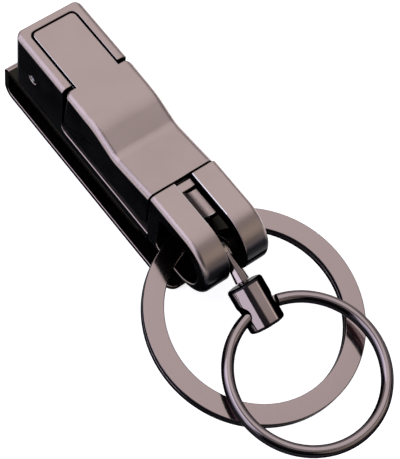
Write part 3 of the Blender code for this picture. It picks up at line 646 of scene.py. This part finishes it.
def makeFork():
    s, hole, tang = forkSizes, forkSizes["hole"], forkSizes["tang"]
    rear = body["rear"]
    radius = (rear - s["proud"]) / 2
    stepDown = housingSizes["floorEnd"] + gap
    stepDeep = body["floorFront"] - gap
    bm = sideSlab([(s["top"], s["proud"], 0), (s["nose"], s["proud"], radius), (s["nose"], rear, radius),
                   (stepDown, rear, 0), (stepDown, stepDeep, 0), (s["top"], stepDeep, 0)], body["width"],
                  segments=s["noseSteps"])

    def offStep(edge):
        return not any(same(vert.co.z, out(stepDeep)) for vert in edge.verts)

    roundRim(bm, lambda edge: onFlank(edge) and offStep(edge), s["edge"])
    fork = makeObject("fork_prongs", bm)
    holeFront = s["proud"] + hole["frontWall"]
    holeRear = rear - hole["rearWall"]
    holeLow = s["nose"] - hole["noseWall"]
    holeRound = (holeRear - holeFront) / 2
    cut(fork, sideSlab([(hole["top"], holeFront, hole["corner"]), (holeLow, holeFront, holeRound),
                        (holeLow, holeRear, holeRound), (hole["top"], holeRear, hole["corner"])],
                       body["width"] + 2 * past, segments=hole["steps"]))
    half = tang["width"] / 2
    join(fork, planBlock(half, tang["top"], tang["root"], tang["front"], tang["rear"], tang["corner"]))
    notch = planBlock(half - tang["notchMargin"], tang["notchFrom"], tang["notchTo"],
                      tang["rear"] - tang["notchDepth"], tang["rear"] + past)
    side = s["slot"] / 2
    slot = planBlock(side, s["slotTop"], s["nose"] + past, s["proud"] - past, rear + past, s["slotCorner"])
    cut(fork, notch, slot)
    join(fork, makeWeb())
    soften(fork, s["softEdge"])

    # Painted shade on the walls inside the prongs' hole
    def inHole(face):
        down = body["originDown"] - face.center.y / mm
        deep = body["leafBack"] - face.center.z / mm
        slack = hole["slack"]
        inside = holeFront - slack < deep < holeRear + slack and hole["top"] - slack < down < holeLow + slack
        return inside and abs(face.normal.x) < hole["wallTurn"]

    # Painted highlight on the web's end edge, and on the slot's edges as far as the prongs are straight
    def bright(face):
        least = edgeFaces["least"]
        atEnd = abs(face.center.y - up(s["web"]["end"])) < s["softEdge"] * mm and face.normal.y < -least
        if atEnd and abs(face.center.x) < side * mm:
            return face.normal.z > least
        return face.center.y > up(s["nose"] - radius) and onEdge(face, side, s["softEdge"])

    dress(fork, satinGunmetal, (paintedEdgeHighlight, bright), (darkSteelAndPaintedShade, inHole), (paintedShadeFlank, onSide))
    seat(fork, "fork_body", "fork")


# For the split rings: sweeps a section round Z through an angle while it rises, and returns the new end
def spinStage(bm, section, angle, rise, count):
    step = (0, 0, rise * mm / count)
    swept = bmesh.ops.spin(bm, geom=section, cent=(0, 0, 0), axis=(0, 0, 1), dvec=step,
                           angle=math.radians(angle), steps=count, use_merge=False)
    return swept["geom_last"]


def sectionFace(bm, radius, points, startDegrees):
    verts = [bm.verts.new(((radius + outward) * mm, 0, along * mm)) for outward, along in points]
    face = bm.faces.new(verts)
    turn = Matrix.Rotation(math.radians(startDegrees), 3, "Z")
    bmesh.ops.rotate(bm, verts=verts, cent=(0, 0, 0), matrix=turn)
    return [face] + list(face.edges) + verts


# The middle of the ring's wire at its top goes to the given place
def placeRing(bm, ring):
    tilt = Matrix.Rotation(math.radians(ring["tilt"]), 4, "X")
    roll = Matrix.Rotation(math.radians(ring["roll"]), 4, "Y")
    turn = tilt @ roll
    top = Matrix.Translation((ring["x"] * mm, up(ring["down"]), out(ring["deep"])))
    fromTop = Matrix.Translation((0, -ring["radius"] * mm, 0))
    bmesh.ops.transform(bm, matrix=top @ turn @ fromTop, verts=bm.verts)


# Large ring: two turns of flat band. The ease is (share of the crossing's angle, share of its rise)
largeSizes = dict(radius=15.85, band=3.3, thick=1.85, layerGap=0.12, x=-0.64, down=40.93, deep=8.91,
                  tilt=10.1, roll=3.1, split=4.0, crossing=12.0, end=3.0, edge=0.16, roundFrom=50,
                  darkBelow=0.88, shadeHalf=4.6, shadeTo=44.5, easeSteps=4,
                  ease=[(0.12, 0.06), (0.16, 0.19), (0.44, 0.5), (0.16, 0.19), (0.12, 0.06)])


def makeLargeRing():
    s = largeSizes
    layer = (s["thick"] - s["layerGap"]) / 2
    half = s["band"] / 2
    low = -layer - s["layerGap"] / 2
    bm = bmesh.new()
    corners = [(half, low), (half, low + layer), (-half, low + layer), (-half, low)]
    start = 90 + s["split"] + s["crossing"] + s["end"]
    section = sectionFace(bm, s["radius"], corners, start)
    flat = 360 - 2 * s["crossing"] - s["end"]
    section = spinStage(bm, section, flat, 0, steps["ring"])
    rise = layer + s["layerGap"]
    for share, part in s["ease"]:
        section = spinStage(bm, section, 2 * s["crossing"] * share, rise * part, s["easeSteps"])
    spinStage(bm, section, flat, 0, steps["ring"])
    bmesh.ops.remove_doubles(bm, verts=bm.verts[:], dist=merge["ring"] * mm)
    bmesh.ops.recalc_face_normals(bm, faces=bm.faces[:])
    placeRing(bm, s)
    ring = makeObject("large_split_ring", bm)
    soften(ring, s["edge"], s["roundFrom"])

    # Painted shade: between the prongs the ring takes the dark finish, as in the fork's shade
    def insideFork(face):
        return abs(face.center.x) < s["shadeHalf"] * mm and face.center.y > up(s["shadeTo"])

    # Painted shade on the ring's side walls, in the flank finish
    def onWall(face):
        return abs(face.normal.z) < s["darkBelow"]

    dress(ring, ringNickel, (darkSteelAndPaintedShade, insideFork), (paintedShadeFlank, onWall))
    seat(ring, "large_ring_body", "large_ring")


# Small ring: two turns of half-round wire, and a round crossing between them
smallSizes = dict(radius=12.175, wire=0.975, wireSteps=16, layerGap=0.1, lip=0.05, lipDegrees=5, x=-0.18,
                  down=56.765, deep=9.4, tilt=7.5, roll=0, split=0.5, crossing=12.0, crossSteps=14, lap=1,
                  end=3.0)


def halfRound(side):
    s = smallSizes
    wire, count = s["wire"], s["wireSteps"]
    flat = s["layerGap"] / 2
    first = math.asin(flat / wire) + math.radians(s["lipDegrees"])
    points = []
    for i in range(count + 1):
        angle = first + (math.pi - 2 * first) * i / count
        points.append((wire * math.cos(angle), side * wire * math.sin(angle)))
    edge = wire * math.cos(first)
    return [(edge - s["lip"], side * flat)] + points + [(-edge + s["lip"], side * flat)]


def makeSmallRing():
    s = smallSizes
    wire, count = s["wire"], s["wireSteps"]
    bm = bmesh.new()
    base = 90 + s["split"]
    sweep = 360 - 2 * s["crossing"] - s["end"] + s["lap"]
    for side, start in ((-1, base + s["crossing"] + s["end"]), (1, base + s["crossing"] - s["lap"])):
        spinStage(bm, sectionFace(bm, s["radius"], halfRound(side), start), sweep, 0, steps["ring"])
    angles = [math.pi * i / count for i in range(2 * count)]
    circle = [(wire * math.cos(angle), wire * math.sin(angle)) for angle in angles]
    section = sectionFace(bm, s["radius"], circle, base - s["crossing"])
    spinStage(bm, section, 2 * s["crossing"], 0, s["crossSteps"])
    bmesh.ops.recalc_face_normals(bm, faces=bm.faces[:])
    placeRing(bm, s)
    ring = makeObject("small_split_ring", bm)
    dress(ring, smallRingNickel)
    seat(ring, "small_ring_body", "small_ring")


# Swivel: the link's headed pin turns in the barrel
swivelSizes = dict(x=-0.18, tilt=26.0, down=52.5, deep=7.85, pin=0.8, head=1.4, headHeight=0.6, cap=0.9)
linkSizes = dict(bore=2.15, wall=1.05, thick=1.7, boreCut=10.0, armWidth=1.8, armDown=46.63, armDeep=4.99,
                 armLap=0.6, armCorner=0.8, armThinner=0.1, stemStart=4.7, tipFlats=1.5, stemFlats=2.2,
                 pinLap=0.2, shadeTo=47.2, softEdge=0.12)
barrelSizes = dict(flats=5.7, length=7.5, corner=0.62, cornerSteps=8, chamfer=0.5, chamferSteps=3, hole=1.85,
                   holeAlong=4.3, holeCut=12.0, endTurn=0.2, rightTurn=0.3)
sides = 8
halfSide = math.pi / sides


# Z runs down the swivel's axis from the middle of the barrel's top face
def swivelFrame():
    s = swivelSizes
    lean = math.radians(s["tilt"])
    way = Vector((0, -math.cos(lean), -math.sin(lean)))
    side = Vector((1, 0, 0))
    turn = Matrix((side, way.cross(side), way)).transposed().to_4x4()
    return Matrix.Translation((s["x"] * mm, up(s["down"]), out(s["deep"]))) @ turn


# Eight-sided solid through (width across flats, along) stations, a flat facing each axis
def eightSided(stations):
    corner = 0.5 / math.cos(halfSide)
    around = [(flats * corner, along) for flats, along in stations]
    bm = turned([(0, stations[0][1])] + around + [(0, stations[-1][1])], sides)
    bmesh.ops.rotate(bm, verts=bm.verts, cent=(0, 0, 0), matrix=Matrix.Rotation(halfSide, 3, "Z"))
    return bm


# The arm from the link's eye to the stem, as a side view outline
def armOutline(outer):
    s = linkSizes
    eye = Vector((largeSizes["down"], largeSizes["deep"]))
    run = Vector((s["armDown"] - largeSizes["down"], s["armDeep"] - largeSizes["deep"]))
    ahead = run.normalized()
    aside = Vector((-ahead.y, ahead.x)) * s["armWidth"] / 2
    start = eye + ahead * (outer - s["armLap"])
    end = eye + run + ahead * s["armWidth"] / 2
    corner = s["armCorner"]
    return [(*(start - aside), 0), (*(end - aside), corner), (*(end + aside), corner), (*(start + aside), 0)]


def makeSwivelLink():
    s, axle = linkSizes, swivelSizes
    onWire = across(largeSizes["down"], largeSizes["deep"], axle["x"])
    outer = s["bore"] + s["wall"]
    link = makeObject("swivel_link", bar(outer, s["thick"], onWire, steps["fine"]))
    tip = -(axle["down"] - s["armDown"]) / math.cos(math.radians(axle["tilt"]))
    stem = eightSided([(s["tipFlats"], tip), (s["tipFlats"], -s["stemStart"]), (s["stemFlats"], -gap)])
    pinStart = -gap - s["pinLap"]
    headStart = axle["cap"] + gap
    headEnd = headStart + axle["headHeight"]
    pin = turned([(0, pinStart), (axle["pin"], pinStart), (axle["pin"], headStart),
                  (axle["head"], headStart), (axle["head"], headEnd), (0, headEnd)])
    for bm in (stem, pin):
        bmesh.ops.transform(bm, matrix=swivelFrame(), verts=bm.verts)
    join(link, sideSlab(armOutline(outer), s["thick"] - s["armThinner"], axle["x"]), stem, pin)
    cut(link, bar(s["bore"], s["boreCut"], onWire, steps["fine"]))
    soften(link, s["softEdge"])
    # Painted shade on the eye and the arm up in the fork's slot
    dress(link, blackNickel, (paintedShadeLinkNickel, lambda face: face.center.y > up(s["shadeTo"])))
    seat(link, "eye_body", "swivel_eye")


def makeBarrel():
    s, axle = barrelSizes, swivelSizes
    corner = s["flats"] / 2 / math.cos(halfSide)
    turns = [halfSide + 2 * halfSide * i for i in range(sides)]
    bm = flatShape([(corner * math.cos(turn), corner * math.sin(turn), s["corner"]) for turn in turns],
                   lambda x, y: (x * mm, y * mm, 0), s["cornerSteps"])
    grow(bm, (0, 0, s["length"] * mm))
    roundRim(bm, lambda edge: same(edge.verts[0].co.z, edge.verts[1].co.z), s["chamfer"], s["chamferSteps"])
    bmesh.ops.transform(bm, matrix=swivelFrame(), verts=bm.verts)
    barrel = makeObject("swivel_barrel_body", bm)
    bore = axle["pin"] + gap
    room = axle["head"] + gap
    well = turned([(0, -past), (bore, -past), (bore, axle["cap"]), (room, axle["cap"]),
                   (room, s["holeAlong"]), (0, s["holeAlong"])], steps["bore"])
    bmesh.ops.transform(well, matrix=swivelFrame(), verts=well.verts)
    hole = Matrix.Translation(swivelFrame() @ Vector((0, 0, s["holeAlong"] * mm)))
    acrossHole = hole @ Matrix.Rotation(math.pi / 2, 4, "Y")
    cut(barrel, well, bar(s["hole"], s["holeCut"], acrossHole, steps["fine"]))
    way = swivelFrame().to_3x3() @ Vector((0, 0, 1))

    # Painted shade: the ends and the flats on the right are darker
    def shaded(face):
        return abs(face.normal.dot(way)) > s["endTurn"] or face.normal.x > s["rightTurn"]

    dress(barrel, blackNickel, (paintedShadeBarrelNickel, shaded))
    seat(barrel, "barrel_body", "swivel_barrel")


for maker in (makeHousing, makeLever, makePin, makeRivets, makeClip, makeFork, makeLargeRing, makeSmallRing,
              makeSwivelLink, makeBarrel):
    maker()
    print("made:", maker.__name__)

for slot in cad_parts["lever_spring"].material_slots:
    slot.material = springWire


# Floor, light and camera
floorSizes = dict(reach=4.0, drop=0.02, shade=0.93, roughness=0.9, lift=0.7)


# White to the camera and in the metal, while the cast shadow stays
def makeFloor():
    s = floorSizes
    bm = bmesh.new()
    bmesh.ops.create_grid(bm, x_segments=1, y_segments=1, size=s["reach"])
    floor = makeObject("floor", bm)
    paint, nodes, links = newFinish("pale floor")
    shader = nodes["Principled BSDF"]
    shader.inputs["Base Color"].default_value = (s["shade"], s["shade"], s["shade"], 1)
    shader.inputs["Roughness"].default_value = s["roughness"]
    shader.inputs["Specular IOR Level"].default_value = 0.0
    shader.inputs["Emission Color"].default_value = (1, 1, 1, 1)
    rays = nodes.new("ShaderNodeLightPath")
    seen = rays.outputs["Is Camera Ray"]
    for name in ("Is Glossy Ray", "Is Transmission Ray"):
        either = nodes.new("ShaderNodeMath")
        either.operation = "MAXIMUM"
        links.new(seen, either.inputs[0])
        links.new(rays.outputs[name], either.inputs[1])
        seen = either.outputs[0]
    links.new(ranged(nodes, links, seen, 0, 1, 0, s["lift"]), shader.inputs["Emission Strength"])
    floor.data.materials.append(paint)
    floor.location.z = -s["drop"] * mm


# The sky is bright round one direction: closeness to it (1 is straight at it) and the light from there
sky = dict(brightFrom=(0.357, 0.35, 0.866),
           stops=[(0.0, (0.02, 0.02, 0.025)), (0.54, (0.03, 0.03, 0.035)), (0.62, (0.6, 0.575, 0.56)),
                  (0.76, (0.26, 0.25, 0.25)), (0.95, (0.57, 0.57, 0.57))])


def makeWorld():
    world = bpy.data.worlds.new("studio")
    world.use_nodes = True
    bpy.context.scene.world = world
    nodes, links = world.node_tree.nodes, world.node_tree.links
    place = nodes.new("ShaderNodeTexCoord")
    closeness = nodes.new("ShaderNodeVectorMath")
    closeness.operation = "DOT_PRODUCT"
    closeness.inputs[1].default_value = sky["brightFrom"]
    links.new(place.outputs["Generated"], closeness.inputs[0])
    ramp = nodes.new("ShaderNodeValToRGB")
    links.new(closeness.outputs["Value"], ramp.inputs["Fac"])
    stops = ramp.color_ramp.elements
    while len(stops) < len(sky["stops"]):
        stops.new(0.5)
    for stop, (position, colour) in zip(stops, sky["stops"]):
        stop.position = position
        stop.color = (*colour, 1)
    links.new(ramp.outputs["Color"], nodes["Background"].inputs["Color"])
    nodes["Background"].inputs["Strength"].default_value = 1.0


# level is what each lamp shows as in a mirror, where 1 is white
lamps = [
    dict(name="top softbox", place=(0.36, 0.35, 0.87), size=(1.1, 1.1), level=0.6, tint=(1.0, 1.0, 1.0)),
    dict(name="left softbox", place=(-0.66, 0.24, 0.6), size=(0.95, 1.1), level=2.0, tint=(0.78, 0.82, 1.0)),
    dict(name="low strip", place=(-0.89, -0.2, 0.28), size=(0.3, 0.6), level=1.3, tint=(0.84, 0.87, 1.0)),
    dict(name="front strip", place=(0.34, -0.76, 0.45), size=(1.0, 0.6), level=0.62, tint=(1.0, 0.94, 0.78)),
]


def makeLamps():
    for entry in lamps:
        light = bpy.data.lights.new(entry["name"], "AREA")
        light.shape = "RECTANGLE"
        light.size, light.size_y = entry["size"]
        light.energy = entry["level"] * math.pi * light.size * light.size_y
        light.color = entry["tint"]
        lamp = bpy.data.objects.new(entry["name"], light)
        lamp.location = entry["place"]
        lamp.rotation_euler = (-Vector(entry["place"])).to_track_quat("-Z", "Y").to_euler()
        lamp.visible_camera = False
        bpy.context.collection.objects.link(lamp)


cameraSizes = dict(place=(-98.35, -117.77, 249.92), right=(0.7953, -0.6002, 0.0854),
                   up=(0.4898, 0.7191, 0.4929), lens=141.2, sensor=36, clipStart=10.0)


def makeCamera():
    s = cameraSizes
    camera = bpy.data.objects.new("camera", bpy.data.cameras.new("camera"))
    camera.data.lens = s["lens"]
    camera.data.sensor_width = s["sensor"]
    camera.data.clip_start = s["clipStart"] * mm
    right = Vector(s["right"]).normalized()
    upward = Vector(s["up"]).normalized()
    turn = Matrix((right, upward, right.cross(upward))).transposed().to_4x4()
    camera.matrix_world = Matrix.Translation(Vector(s["place"]) * mm) @ turn
    bpy.context.collection.objects.link(camera)
    bpy.context.scene.camera = camera


makeFloor()
makeWorld()
makeLamps()
makeCamera()
bpy.context.scene.view_settings.view_transform = "Standard"
print("floor, light and camera made")
